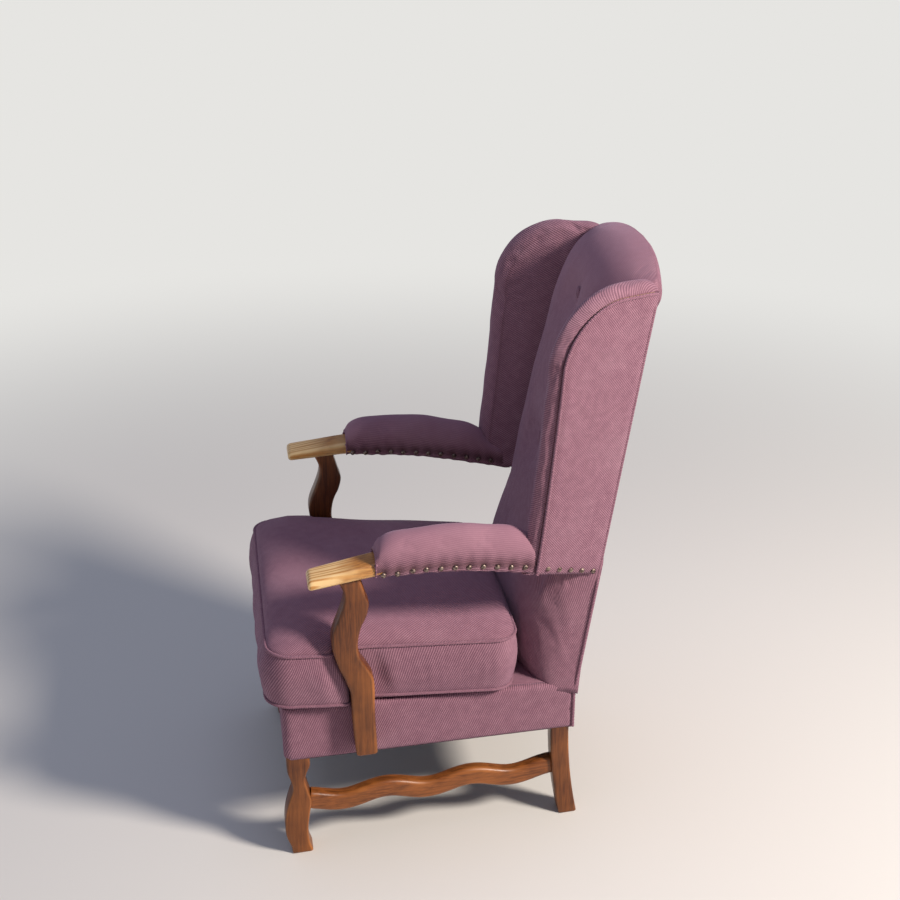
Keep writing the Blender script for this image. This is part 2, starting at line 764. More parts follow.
def arm_top(d):
    """Top of the arm board, which is thinner towards the handle's tip."""
    tip = within((d - arm_front) / arm_pad_start)
    return arm_under(d) + handle_tip_thickness + (arm_thickness - handle_tip_thickness) * tip


support_reach = arm_under(support_place) - support_underside


def arm_support(name, side):
    """Waved support between the side rail and the arm, outside the cloth of the rail."""
    height = support_reach - 2 * clearance
    along, inset = bar_stations(height, wood_end_round, 110)
    z = support_underside + height * along
    edges = [paired(support_place + support_width * shares_at(table, along), z)
             for table in (support_front_shares, support_rear_shares)]
    inner = cloth_thickness + clearance
    wood_piece(name, side, *edges, inner, inner + support_thickness, inset, corner=0.006)


def wing_face(d, z):
    """Sideways place of the wing's outer face at a depth and height, counted from the side of the frame."""
    rear = back_line(z)
    return side_x(rear) + wing_lap + wing_flare * (rear - d) - side_x(d)


def arm_outer(d, spare=board_in_wing):
    """Outer edge of the arm: it draws in towards the back, and inside the wing it follows the wing's flare."""
    plain = arm_width - arm_inset - (arm_width - arm_rear_width) * (d - arm_front) / arm_length
    return np.minimum(plain, wing_face(d, wing_front_foot) - spare)


def arm_board(name, side):
    """Dipping arm board, whose bare front end is the handle."""
    along, inset = bar_stations(arm_length, 0.007, 110)
    d = arm_front + arm_length * along
    wood_piece(name, side, paired(d, arm_under(d)), paired(d, arm_top(d)), -arm_inset, arm_outer(d), inset,
               handle_beech, "handle_wood", corner=0.0085)


# Seat cushion, deck and lining

def on_seat(x, d, h):
    """From the raked plane of the deck to the row frame: a turn about the seat's front edge."""
    size = math.hypot(1, seat_rake)
    cos, sin = 1 / size, seat_rake / size
    return place(x, d * cos + h * sin, rail_top - d * sin + h * cos)


def cushion_plan(level):
    """Plan of the cushion's seam line at a level above the deck, as a grid of sideways places and depths.

    Its edge has round front corners, lobes that end on a small arc against the waved front of the arm
    supports, a narrower tail and round rear corners. Inside, x is u times a plain half-width, and the edge's
    own step fades out as the 14th power of u.
    """
    height = deck_height + level
    support_share = (rail_top - seat_rake * support_place + height - support_underside) / support_reach
    lobe_rear = (support_place + support_width * shares_at(support_front_shares, support_share)
                 - seat_rake * height - cushion_side_gap)
    start, end = cushion_front + cushion_seam_inset, cushion_rear - cushion_seam_inset
    turn = quarter(11)
    front = start + cushion_corner * (1 - np.cos(turn))
    lobe = lobe_rear - cushion_lobe_round * (1 - np.sin(turn[::2]))
    tail = np.linspace(lobe_rear + 0.001, end - cushion_corner, 42)
    rear = end - cushion_corner * (1 - np.cos(turn[::-1]))
    d = np.concatenate([front, np.linspace(front[-1], lobe[0], 9)[1:-1], lobe, tail, rear[1:]])
    wide = cushion_lobe_half - cushion_seam_inset
    away = np.clip(d - lobe_rear + cushion_lobe_round, 0, cushion_lobe_round)
    lobes = wide - cushion_lobe_round + np.sqrt(cushion_lobe_round ** 2 - away ** 2)
    beside = side_x(np.minimum(d, support_rear)) + clearance * 6 - 0.02 * np.maximum(d - support_rear, 0)
    half = np.where(d <= lobe_rear, lobes, beside)
    from_end = np.clip(cushion_corner - np.minimum(d - start, end - d), 0, cushion_corner)
    half = half - cushion_corner + np.sqrt(cushion_corner ** 2 - from_end ** 2)
    plain = np.interp(d, [start, lobe_rear - 0.05, support_rear, end], [half[0], wide, beside[-1] + 0.004, half[-1]])
    plain = np.minimum(plain, half + 0.02)
    spread = np.linspace(-1, 1, 81)
    u = 0.25 * spread + 0.75 * np.sin(spread * math.pi / 2)
    x = plain[:, None] * u + (half - plain)[:, None] * np.sign(u) * np.abs(u) ** 14
    return x, np.repeat(d[:, None], len(u), 1), u, (2 * d - start - end) / (end - start)


def crown_at(t):
    """Profile of the cushion's top from edge to edge: nearly level, with a steep round shoulder."""
    return (1 - np.abs(t) ** 5) ** 0.45


def extra_cloth(t, rise):
    """How much longer the crowned cloth is than its plan, added up from one edge."""
    steps = np.hypot(np.diff(t), rise * np.diff(crown_at(t))) - np.diff(t)
    return np.concatenate([[0], np.cumsum(steps)])


def seat_cushion():
    """Boxed cushion: a crowned top, a flat base and a bulging border, joined at two welted seams.

    The top's height over its seam is the crown times (1 - |u|^5)^0.45 (1 - |v|^5)^0.45, with u and v from
    -1 to 1."""
    x, depth, u, v = cushion_plan(cushion_top_seam)
    dome = crown_at(u)[None] * crown_at(v)[:, None]
    sway = 0.0024 * ripple(x, depth, wavelength=0.15, seed=5) * dome
    top_h = deck_height + cushion_top_seam + cushion_crown * dome + sway
    spare = extra_cloth(u, 0.14)
    spare = (spare - spare[len(u) // 2]) * cushion_lobe_half
    longer = extra_cloth(v, 0.16) * (cushion_rear - cushion_front) / 2
    top_uv = np.stack([x + spare[None], depth + longer[:, None]], -1)

    low_x, low_depth, _, _ = cushion_plan(cushion_bottom_seam)
    near_rim = within((1 - dome) * 1.6 - 0.6) ** 3
    low_h = deck_height + clearance * (1 - near_rim) + cushion_bottom_seam * near_rim

    t = np.linspace(0, 1, 17)[:, None]
    levels = cushion_bottom_seam + (cushion_top_seam - cushion_bottom_seam) * t
    loops = np.stack([rim(np.stack(cushion_plan(level)[:2], -1)) for level in levels[:, 0]])
    loops = np.concatenate([loops, loops[:, :1]], 1)
    middle = loops[8]
    tangent = np.gradient(middle, axis=0)
    tangent[0] = tangent[-1] = middle[1] - middle[-2]
    outward = unit(np.stack([tangent[:, 1], -tangent[:, 0]], -1))
    run = lengths(middle, 0)
    free = 1 - ease((middle[:, 1] - 0.07) / 0.02) * (1 - ease((middle[:, 1] - support_rear) / 0.03))
    reach = cushion_side_bulge + (cushion_front_bulge - cushion_side_bulge) * np.maximum(-outward[:, 1], 0) ** 2
    swell = np.sin(math.pi * t)
    pucker = 0.0006 * np.sin(2 * math.pi * run / 0.017 + 2 * ripple(run, 0, wavelength=0.09, seed=3))
    closing = within(np.minimum(run, run[-1] - run) / 0.04)
    unevenness = pucker + 0.0013 * ripple(run[None], t * 0.1, wavelength=0.11, seed=8)
    bulge = free * (reach * swell ** 0.75 + closing * unevenness * swell)
    side = loops + outward[None] * bulge[..., None]
    border = on_seat(side[..., 0], side[..., 1], deck_height + levels)
    patches = [
        patch(on_seat(x, depth, top_h), lay(top_uv, 132), held=marked(x.shape, (0, -1), (0, -1)), rubbed=0.55 * dome),
        patch(on_seat(low_x, low_depth, low_h), held=1.0),
        patch(border, lay(paired(run[None], levels), 63, fine=0.93), held=marked(bulge.shape, (0, -1))),
    ]
    piece = cover("loose_seat_cushion", patches, "seat_cushion", "cushion", wall=0.0)
    inflate(piece, pressure=5.0, slack=0.012, cap=0.006)
    for label, row in (("top", -1), ("bottom", 0)):
        path = loops[row] + outward * free[:, None] * 0.0014
        line = on_seat(path[:, 0], path[:, 1], deck_height + levels[row, 0])
        welt_along(f"cushion_{label}_welt", line, welt_radius, (0, 0, 1), "cushion", closed=True)


def deck_cloth():
    """Deck under the cushion: the twill over a thin felt, flat, with its edges rounded down to the rails."""
    u = np.linspace(-1, 1, 61)
    depth = np.repeat(np.linspace(0, deck_rear, 61)[:, None], len(u), 1)
    half = side_x(depth, -clearance)
    x = half * u
    edge = np.minimum(np.minimum(depth, deck_rear - depth), half - np.abs(x))
    fall = 0.006 * (1 - within(edge / 0.014)) ** 2
    top = on_seat(x, depth, deck_height - clearance * 2 - fall)
    foot = on_seat(x, depth, 0.003)
    side = np.stack([rim(foot), rim(top)])
    side = np.concatenate([side, side[:, :1]], 1)
    piece = cover("deck_cloth", [patch(top, lay(cloth_uv(top), 90)), patch(foot), patch(side)], "seat_deck", wall=0.0)


def under_lining():
    """Dust lining tacked under the rails: it sags as the crown (1 - u^2)(1 - v^2) between its edges."""
    front, rear = leg_width + clearance, seat_depth - post_depth - clearance
    u = np.linspace(-1, 1, 41)[None]
    v = u.T
    d = front + (rear - front) * (v + 1) / 2
    sag = 0.007 * (1 - u ** 2) * (1 - v ** 2)
    points = place(side_x(d, -clearance) * u, d, rail_underside - bottom_rake * d - clearance - 0.0002 - sag)
    piece = piece_from("dust_lining", [patch(points)], dust_lining, node="bottom_cloth", wall=0.001)


# Back

def back_front(x, z):
    """Front of the inner back: a swelling lumbar and head, falling away at the sides, pulled in at buttons."""
    share = (z - back_pad_bottom) / (crest_height - crest_roll / 2 - back_pad_bottom)
    ahead = back_pad_depth * shares_at(back_front_shares, within(share))
    across = within(np.abs(x) / back_pad_side)
    foot = rail_top - seat_rake * cushion_rear + lumbar_foot
    rising = within((z - foot) / lumbar_rise)
    crown = back_crown * (lower_crown_share + (1 - lower_crown_share) * rising)
    pull = 0.0
    for height in button_heights:
        away = np.hypot(x, z - height)
        angle = np.arctan2(z - height, x)
        folds = 1 + 0.35 * np.cos(4 * angle + 0.6) * bell(away - fold_start, fold_spread)
        pull = pull + button_depth * bell(away, button_spread) * folds
    return post_line(z) - post_depth - ahead + crown * across ** 3 + pull


def back_half(z):
    """Half-width of the back: to the side panels at its foot, and to the crease of the wings above."""
    full = side_x(post_rear(np.maximum(z, post_knee)) - post_depth, cloth_thickness + clearance)
    narrowing = within((z - wing_front_foot) / crease_softness)
    widening = within((z - wing_top + crease_softness) / crease_softness)
    return full + (back_pad_side - full) * narrowing * (1 - widening)


def crest_at(x):
    """Height of the arched crest."""
    return crest_height - crest_drop * np.abs(x / (seat_rear_half - side_round / 2)) ** 2.4


def back_rear(x, z):
    """Depth of the bowed rear of the back."""
    height = within((z - post_knee) / (crest_height - post_knee))
    return back_line(z) + back_bow * height * (1 - (x / seat_rear_half) ** 2) + clearance


def back_grid(row, across, depth):
    """Points of the back's cover: row runs up from the seat to the crest, across from side to side, and
    depth from the front at -1, past the core at 0, to the rear at 1. Near the top the section closes as a
    quarter circle at the rear and as the fuller root of 1 - t^3.2 in front, which makes the rolled crest."""
    closing = within((row - crest_start) / (1 - crest_start))
    rolled = np.sqrt(np.maximum(1 - closing ** np.where(depth > 0, 2, crest_fullness), 0))
    half = back_half(back_pad_bottom + back_rise * row) - side_round * (1 - rolled)
    x = half * across
    z = back_pad_bottom + (crest_at(x) - back_pad_bottom) * row
    rear = back_rear(x, z)
    middle = rear - post_depth * back_core_share
    reach = np.where(depth > 0, rear - middle, middle - back_front(x, z))
    overhang = crest_overhang * closing ** 2 * (1 - crest_tip_share * closing ** 8)
    return place(x, middle + reach * rolled * depth + overhang, z)


def inner_back():
    """Padded inner back. Its plan is the arc (|cos a|^p, -sin^p a), with full corners at p = 0.36 and softer
    ones at its foot, and its crest rolls over."""
    turn = np.linspace(0, math.pi, 121)[None]
    wrap = np.linspace(1, 0, hem_points)[:-1]
    crest_rows = crest_start + (1 - crest_start) * np.sin(quarter(26))[1:]
    row = np.concatenate([np.linspace(0, crest_start, 110), crest_rows])[:, None]
    flat_z = back_pad_bottom + back_rise * row
    power = back_corner_share + back_foot_softness * (1 - ease((flat_z - 0.42) / 0.16))
    arc_across = np.sign(np.cos(turn)) * np.abs(np.cos(turn)) ** power
    sides = np.ones((len(row), len(wrap)))
    across = np.hstack([sides, arc_across, -sides])
    depth = np.hstack([sides * wrap, -np.sin(turn) ** power, sides * wrap[::-1]])
    front = back_grid(row, across, depth)

    # The side panels are drawn down over the rail cloth in a turned hem that dips towards the rear
    hem = side_hem * ease((np.abs(across) - 0.96) / 0.04) * (0.35 + 0.65 * within((depth + 1) / 2))
    low = 1 - within(row / 0.04)
    front[..., 2] -= hem * low
    front[..., 0] += np.sign(across) * 0.0016 * (hem / side_hem) * low
    upper = row[:, 0] > crest_start - 0.02
    rear = back_grid(row[upper], arc_across[upper], np.ones(turn.shape))
    near = np.zeros(front.shape[:2])
    for height in button_heights:
        near = np.maximum(near, bell(np.hypot(front[..., 0], front[..., 2] - height), button_hold))
    pinned = np.maximum(marked(near.shape, (0, -1), hem_columns), np.round(near * 4) / 4)
    cloth = cloth_uv(front)
    sway = 0.0012 * ripple(cloth[..., 0], cloth[..., 1], wavelength=0.16, seed=21)
    sway = sway * (1 - pinned) * np.clip(1 - row, 0, 0.2) * 5
    front = front + normals_of(front) * sway[..., None]
    head = 0.8 * ease((front[..., 2] - 0.92) / 0.12)
    patches = [patch(front, lay(cloth, 58, fine=1.1), held=pinned, rubbed=head), patch(rear, held=1.0)]
    piece = cover("inner_back_cover", patches, "back_pad")
    inflate(piece, pressure=2.5, slack=0.002, cap=0.005)


def rear_line(z):
    """Rear of the wadded back as a depth: upright up to the posts' knee, then leaning with them."""
    return seat_depth + back_wadding + np.maximum(z - post_knee, 0) * recline


def rear_edge(z):
    """Half-width of the rear cloth: level with the rail cloth, then the side panels, then the wings."""
    panel_z = np.minimum(z, wing_rear_foot - 0.01)
    panel = back_half(panel_z) - side_x(rear_line(panel_z))
    up = ease((z - rail_top + 0.03) / 0.03)
    into_wing = ease((z - wing_rear_foot + 0.03) / 0.045)
    return side_x(rear_line(z)) + (0.0042 * (1 - up) + panel * up) * (1 - into_wing) + wing_lap * 0.6 * into_wing


def outside_back():
    """Rear cloth: flat at its foot and bowed at its top, with both sides folded round the corners.

    Each row is a straight line between two quarter circles of 7 mm, which end in short returns."""
    low = rail_underside - bottom_rake * seat_depth
    z = np.concatenate([np.linspace(low, post_knee, 16), np.linspace(post_knee, post_top, 84)[1:]])[:, None]
    turn = quarter(6)
    half = rear_edge(z)
    share = np.linspace(-1, 1, 55)[None]
    flat_x = (half - rear_corner) * share
    bow = back_bow * within(z - post_knee) / (post_top - post_knee) * (1 - share ** 2)
    uneven = 0.0008 * ripple(share * 0.2, z, wavelength=0.12, seed=31) * (1 - share ** 4)
    flat_d = rear_line(z) + clearance + bow + uneven
    over_pad = pad_ridge - ridge_tuck * within((z - post_top + ridge_tuck_reach) / ridge_tuck_reach) ** 2
    over_pad = over_pad * np.where(z > bare_crest, 1, 1 - share ** 24) * ease((z - wing_rear_foot) / 0.05)
    flat_d = np.where(z > wing_rear_foot, np.maximum(flat_d, back_rear(flat_x, z) + over_pad), flat_d)
    arc_d = rear_line(z) + clearance - rear_corner * (1 - np.sin(turn))[None]
    right_x = np.hstack([np.repeat(half, 2, 1), half - rear_corner * (1 - np.cos(turn))[None]])
    right_d = np.hstack([arc_d[:, :1] - (0.004, 0.002), arc_d])
    x = np.hstack([right_x, flat_x[:, -2:0:-1], -right_x[:, ::-1]])
    points = place(x, np.hstack([right_d, flat_d[:, -2:0:-1], right_d[:, ::-1]]), z)
    piece = cover("outside_back_cloth", [patch(points)], "outside_back")
    heights = np.linspace(low + 0.002, post_top, 160)
    turned_in = welt_tuck * within((heights - post_top + welt_tuck_reach) / welt_tuck_reach) ** 2
    for label, side in SIDES:
        path = place(side * (rear_edge(heights) + 0.0004 - turned_in), rear_line(heights) - 0.0035, heights)
        welt_along(f"rear_corner_welt_{label}", path, 0.0032, (1, 0, 0))
    crest_half = 0.188
    x = np.linspace(-crest_half, crest_half, 90)
    z = post_top - 0.01 * (x / crest_half) ** 4
    welt_along("rear_crest_welt", place(x, back_rear(x, z) + 0.0008, z), welt_radius, (0, 0, 1))


# Wings

def heel_fall(forward, inset):
    """How far the wing's top drops towards its rear end: a quarter ellipse that runs out at the outer seam."""
    share = within(1 - forward / wing_heel_reach)
    return wing_heel_drop * within(1 - inset / wing_band) * (1 - np.sqrt(1 - share ** 2))


def on_wing(inward, forward, z):
    """From the wing's own frame, inwards from its outer face and forwards from the back's rear line."""
    rear = back_line(z)
    return place(side_x(rear) + wing_lap + wing_flare * forward - inward, rear - forward, z)


def wing_edge(b, inset):
    """Front edge and round shoulder of the wing, as distance forwards and height, drawn in by an inset.

    The edge leans gently forward as a power of the height, and the shoulder is a quarter ellipse."""
    rise = wing_top - wing_shoulder_height - wing_front_foot
    z_low = wing_front_foot + rise * np.minimum(b / wing_straight, 1)
    share = within((z_low - wing_front_foot) / rise)
    reach = wing_foot_reach + (wing_reach - wing_foot_reach) * share ** 1.4 - inset
    turn = within((b - wing_straight) / (1 - wing_straight)) * math.pi / 2
    forward = reach - (wing_shoulder_reach - inset / 3) * (1 - np.cos(turn))
    return forward, z_low + (wing_shoulder_height - inset * wing_top_band / wing_band) * np.sin(turn)


def wing_panel(inset, foot_drop=0.0, rear_start=0.0, columns=25, rows=90):
    """Flat part of the wing between its rear line (a = 0) and its edge (a = 1), from foot to top (b = 1)."""
    a = np.linspace(0, 1, columns)[None]
    b = np.linspace(0, 1, rows)[:, None]
    forward, z = wing_edge(b, inset)
    rear = rear_start * (1 - ease((b - 0.8) / 0.2))
    f = rear + (forward - rear) * a
    return f, z - foot_drop * (1 - a) * (1 - b) - heel_fall(f, inset) * b ** 10, a, b


def wing_pad(label, side):
    """Padded wing: an inner face, a roll over its front and top edges, and an underside.

    The roll's section is two quarter ellipses. From the outer seam it leaves at a slope, so that the seam
    lies in a groove, and it meets the inner face flush."""
    inner_f, inner_z, a, b = wing_panel(wing_inner_band, rear_start=wing_root)
    puff = 0.006 * np.sin(math.pi * a) ** 1.6 * np.sin(math.pi * b) ** 1.2
    inner = on_wing(wing_thickness + puff, inner_f, inner_z)

    middle, slope = 0.024, math.radians(66)
    t = np.linspace(-1, 1, 29)[:, None]
    angle = np.where(t < 0, t * slope, t * math.pi / 2)
    drawn = (1 - np.cos(angle)) / np.where(t < 0, 1 - math.cos(slope), 1)
    inset = np.where(t < 0, wing_band, wing_inner_band) * drawn
    inward = middle + np.where(t < 0, (middle - seam_groove) / math.sin(slope), wing_thickness - middle) * np.sin(angle)
    f_up, z_up = wing_edge(b.T, inset)
    f_top, z_top = wing_edge(1.0, inset)
    f_top = f_top * np.linspace(1, 0, 25)[None, 1:]
    f = np.hstack([f_up, f_top])
    z = np.hstack([z_up, z_top - heel_fall(f_top, inset)])
    band = on_wing(inward, f, z)

    # Gathers run in from the seam, closer and deeper round the shoulder
    run = lengths(band, 1)[10]
    shoulder = bell(run - shoulder_run, shoulder_spread)
    wander = 1.4 * ripple(run, 0, wavelength=0.03, seed=4)
    gathers = gather_depth * np.sin(2 * math.pi * run / gather_pitch + wander) * shoulder
    gathers = gathers + stitch_depth * np.sin(2 * math.pi * run / stitch_pitch)
    s = (t + 1) / 2
    fall = np.exp(-s / 0.16) * (1 - np.exp(-s / 0.03))
    bumps = 0.0005 * ripple(run[None], s * 0.09, wavelength=0.09, seed=14) * np.sin(math.pi * s)
    normal = normals_of(band)
    outward = np.sign((normal[14, 40] * (band[14, 40] - inner.reshape(-1, 3).mean(0))).sum())
    band = band + outward * normal * (gathers[None] * fall + bumps)[..., None]

    # The underside closes the foot between the roll and the post
    k = np.linspace(0, 1, 12)[:, None]
    under = on_wing(inward.T, f[:, 0][None] * (1 - k) + wing_root * k, wing_front_foot)

    # The ribs run on from the inner face over the roll
    ribs, seam_shade = 28, 0.3
    flat_band = np.stack([f, z], -1)
    away = unit(flat_band[14] - flat_band[-1])
    over = lengths(band, 0)
    band_uv = lay(flat_band[-1][None] + away[None] * (over[-1] - over)[..., None], ribs)
    scale = (side, 1, 1)
    patches = [
        patch(band * scale, band_uv, held=marked(f.shape, (0, 1)), soiled=marked(f.shape, (-1,), value=seam_shade)),
        patch(inner * scale, lay(np.stack([inner_f, inner_z], -1), ribs), held=marked(inner_f.shape, (0,), (0, 1)),
              soiled=marked(inner_f.shape, (-1,), (-1,), seam_shade)),
        patch(under * scale, held=1.0),
    ]
    piece = cover(f"wing_pad_cover_{label}", patches, f"wing_pad_{label}")
    inflate(piece, pressure=2.0, slack=0.002, cap=0.004)


def wing_outside(label, side):
    """Outer cloth of the wing with its turned edges, and the welt along its seam, whose rear end dives in."""
    scale = (side, 1, 1)
    out_f, out_z, a, b = wing_panel(wing_band + 0.0022, wing_front_foot - wing_rear_foot, columns=41, rows=110)
    edge = np.minimum(np.minimum(a * out_f.max(), (1 - a) * out_f), np.minimum(b, 1 - b) * 0.5)
    flat = within(edge / 0.014)
    inward = 0.0018 - 0.0034 * ease(flat) + 0.0007 * ripple(out_f, out_z, wavelength=0.09, seed=17) * flat
    outer = on_wing(inward, out_f, out_z)
    cloth = patch(outer * scale, lay(np.stack([out_f, out_z], -1), 47, fine=1.25))
    piece = cover(f"wing_outer_cloth_{label}", [cloth], f"wing_outer_{label}")
    rim_f, rim_z = (np.concatenate([grid[:, -1], grid[-1, -2::-1]]) for grid in (out_f, out_z))
    kept = rim_f > 0.004
    rim_f, rim_z = rim_f[kept], rim_z[kept]
    dive = 0.006 * within(1 - rim_f / 0.018) ** 2 * (rim_z > wing_top - 0.05)
    path = on_wing(dive - 0.0004, rim_f + 0.0008, rim_z - dive / 2) * scale
    welt_along(f"wing_seam_welt_{label}", path, welt_radius, (1, 0, 0), swelling=0.12)


# Arm pads

def pad_sides(d):
    """Inner and outer side of an arm pad, counted from the side of the frame."""
    return -arm_inset - arm_pad_wrap + 0 * d, arm_outer(d, spare=pad_in_wing) + arm_pad_wrap


def arm_pad_section(d, turn):
    """Cross-section of an arm pad: a flattened dome over the board. Height follows sin^0.7 of the turn."""
    share = (d - arm_front - arm_pad_start) / arm_pad_length
    top = arm_top(d) - 4 * clearance
    inner, outer = pad_sides(d)
    blunt = 1 - (1 - np.minimum(share * arm_pad_length / arm_pad_round, 1)) ** 2 * 0.12
    rise = arm_pad_height * shares_at(arm_pad_shares, share) - arm_thickness
    return (outer + inner) / 2 + (outer - inner) / 2 * blunt * np.cos(turn), top + rise * np.sin(turn) ** 0.7, top


def nail_places():
    """Depths of the nails along an arm pad."""
    return arm_front + arm_pad_start + first_nail + nail_spacing * np.arange(arm_nail_count)


def nail_heights(d):
    """Height of the arm's nails: they lie a little lower on the board in front than towards the wing."""
    return arm_under(d) + nail_lift + nail_rise * within((d - arm_front - arm_pad_start) / 0.24)


def arm_pad(label, side):
    """Padded cover over an arm board: two hanging sides, a domed top and a blunt front face."""
    shares = np.concatenate([np.linspace(0, 0.08, 12), np.linspace(0.08, 1, 90)[1:]])
    d = (arm_front + arm_pad_start + arm_pad_length * shares)[:, None]
    x, z, top = arm_pad_section(d, np.linspace(0, math.pi, 41)[None])
    low = arm_under(d) + 0.0008
    hanging = low + (top - low) * np.linspace(0, 1, hem_points + 1)[:-1]
    z = np.hstack([hanging, z, hanging[:, ::-1]])
    x = np.hstack([np.repeat(x[:, :1], hem_points, 1), x, np.repeat(x[:, -1:], hem_points, 1)])
    ridge = x.shape[1] // 2
    depth = np.repeat(d, z.shape[1], 1)
    level = within((z - low) / (top - low))
    z = z - hem_wave * (1 - level) ** 2 * (0.6 + ripple(depth, 0, wavelength=0.021, seed=9))
    inwards = np.sign(x - x[:, [ridge]])
    body = place(side_x(depth) + x - inwards * pad_tuck * (1 - level) ** 1.5, depth, z)

    # The cloth is pulled in round each nail and swells between them
    normal = normals_of(body)
    nail_d = nail_places()
    away = np.hypot(depth[..., None] - nail_d, z[..., None] - nail_heights(nail_d)).min(-1)
    pull = nail_pull * bell(away, pull_spread)
    level = (z - low) / 0.02
    between = np.cos(2 * math.pi * (depth - nail_d[0]) / nail_spacing)
    creases = crease_depth * np.sin(2 * math.pi * level * 2.6) - swell_depth * between
    creases = creases * bell(level - 0.9, 0.7)
    sway = 0.0012 * ripple(depth, x, wavelength=0.09, seed=15) * np.sin(math.pi * within((z - top) / 0.05) / 2)
    body = body + np.sign(normal[50, ridge, 2]) * normal * (creases + sway - pull)[..., None]

    k = np.linspace(0, 1, 9)[:, None]
    face_x, face_y, face_z = body[0].T
    face_z = face_z + (np.minimum(face_z, top[0, 0]) - face_z) * k
    face_y = face_y - 0.0025 * np.sin(math.pi * np.minimum(k + 0.15, 1)) ** 2
    face = np.stack(np.broadcast_arrays(face_x, face_y, face_z), -1)
    face[0] = body[0]

    nail_line = nail_heights(depth)
    soiled = 0.9 * bell(z - nail_line - soil_lift, soil_spread) * (0.85 + 0.15 * between)
    soiled = np.where(z < nail_line - 0.001, soiled * 0.4, soiled)
    round_it = lengths(body, 1)
    uv = lay(paired(round_it - round_it[:, [ridge]], depth), 84, fine=0.95)
    scale = (side, 1, 1)
    patches = [patch(body * scale, uv, held=marked(depth.shape, (0, -1), hem_columns),
                     rubbed=within((z - top) / 0.022), soiled=soiled),
               patch(face * scale, held=1.0)]
    piece = cover(f"arm_pad_cover_{label}", patches, f"arm_pad_{label}")
    inflate(piece, pressure=2.0, slack=0.002, cap=0.003)


# Seat frame cloth

def rail_cover():
    """Cloth band round the seat frame: up one side, round the front on small corner arcs, and back."""
    corner = 0.012
    turn = quarter(9)[1:]
    front_d = -cloth_thickness - clearance
    side_d = np.linspace(seat_depth, corner, 80)
    x_corner = side_x(corner, cloth_thickness) - corner * (1 - np.cos(turn))
    x_front = np.linspace(x_corner[-1], 0, 40)[1:]
    x = np.concatenate([side_x(side_d, cloth_thickness), x_corner, x_front])
    d = np.concatenate([side_d, corner - (corner - front_d) * np.sin(turn), np.full(len(x_front), front_d)])
    d = np.concatenate([d, d[-2::-1]])
    path = np.stack([np.concatenate([x, -x[-2::-1]]), d], -1)
    tangent = np.gradient(path, axis=0)
    outward = unit(np.stack([-tangent[:, 1], tangent[:, 0]], -1))
    outward *= np.sign(outward[0, 0])
    t = np.linspace(0, 1, 23)[:, None]
    run = lengths(path, 0)
    low = rail_underside - bottom_rake * d
    high = rail_top + deck_height - seat_rake * d
    uneven = 0.0007 * ripple(run[None], t * 0.1, wavelength=0.07, seed=12)
    swell = 0.0014 * np.sin(math.pi * t) + uneven * np.sin(math.pi * t)
    rolled = within(1 - (1 - t) / 0.1)
    tuck = -0.0022 * (1 - within(t / 0.06)) ** 2 - 0.009 * (1 - np.sqrt(1 - rolled ** 2)) - 0.001 * rolled
    z = low + (high - low) * t - 0.002 * rolled ** 2
    out = path[None] + outward[None] * (swell + tuck)[..., None]
    points = place(out[..., 0], out[..., 1], z)
    piece = cover("rail_cloth", [patch(points, lay(paired(run[None], z), 115, fine=0.9))], "rail_cover")


# Nails and buttons

def dome_nails(name, places, normal):
    """Dome nails: each is a quarter-ellipse profile turned about its shank, set square to the cloth."""
    turn = np.linspace(0, 2 * math.pi, 15)
    lift = quarter(6)
    radius = np.concatenate([[0, nail_radius * 0.96], nail_radius * np.cos(lift)])
    height = np.concatenate([[-0.0012, -0.0012], nail_height * np.sin(lift)])
    normal = np.array(normal)
    up = unit(np.cross(normal, (0, 1, 0)))
    ring = up * np.cos(turn)[:, None] + np.cross(normal, up) * np.sin(turn)[:, None]
    dome = ring[None] * radius[:, None, None] + normal * height[:, None, None]
    piece_from(name, [patch(point + dome) for point in places], brass)


def nail_rows():
    """Nails along both lower edges of each arm pad and along the foot of each wing, slightly out of line."""
    rng = np.random.default_rng(2)
    d = nail_places()
    z = nail_heights(d)
    inner, outer = pad_sides(d)
    a = np.linspace(0.84, 0.127, 5)
    wing_height = wing_rear_foot + (wing_front_foot - wing_rear_foot) * a + 0.0055 + 0.009 * a
    for label, side in SIDES:
        for face, edge, way in (("outer", outer, 1), ("inner", inner, -1)):
            shift = rng.normal(0, nail_jitter, (len(d), 2))
            spots = place(side * (side_x(d) + edge - way * 0.0024), d + shift[:, 0], z + shift[:, 1])
            dome_nails(f"arm_nails_{face}_{label}", spots, (side * way, 0.0, 0.0))
        spots = on_wing(-0.0012, a * (wing_foot_reach - wing_band), wing_height) * (side, 1, 1)
        dome_nails(f"wing_nails_{label}", spots, np.array([side, wing_flare, 0.0]) / math.hypot(1, wing_flare))


def buttons():
    """Covered buttons: a flat ball, whose radius is the 0.8th power of the cosine of its latitude."""
    turn = np.linspace(0, 2 * math.pi, 33)
    lift = np.linspace(-math.pi / 2, math.pi / 2, 17)[:, None]
    radius = button_radius * np.cos(lift) ** 0.8
    for label, height in zip(("upper", "lower"), button_heights):
        d = back_front(np.zeros(1), np.array([height]))[0] - 0.001 - 0.0045 * np.sin(lift)
        points = place(radius * np.cos(turn), d, height + radius * np.sin(turn))
        piece_from(f"back_button_{label}_cover", [patch(points)], piping, node=f"back_button_{label}")


# Stage, light and camera

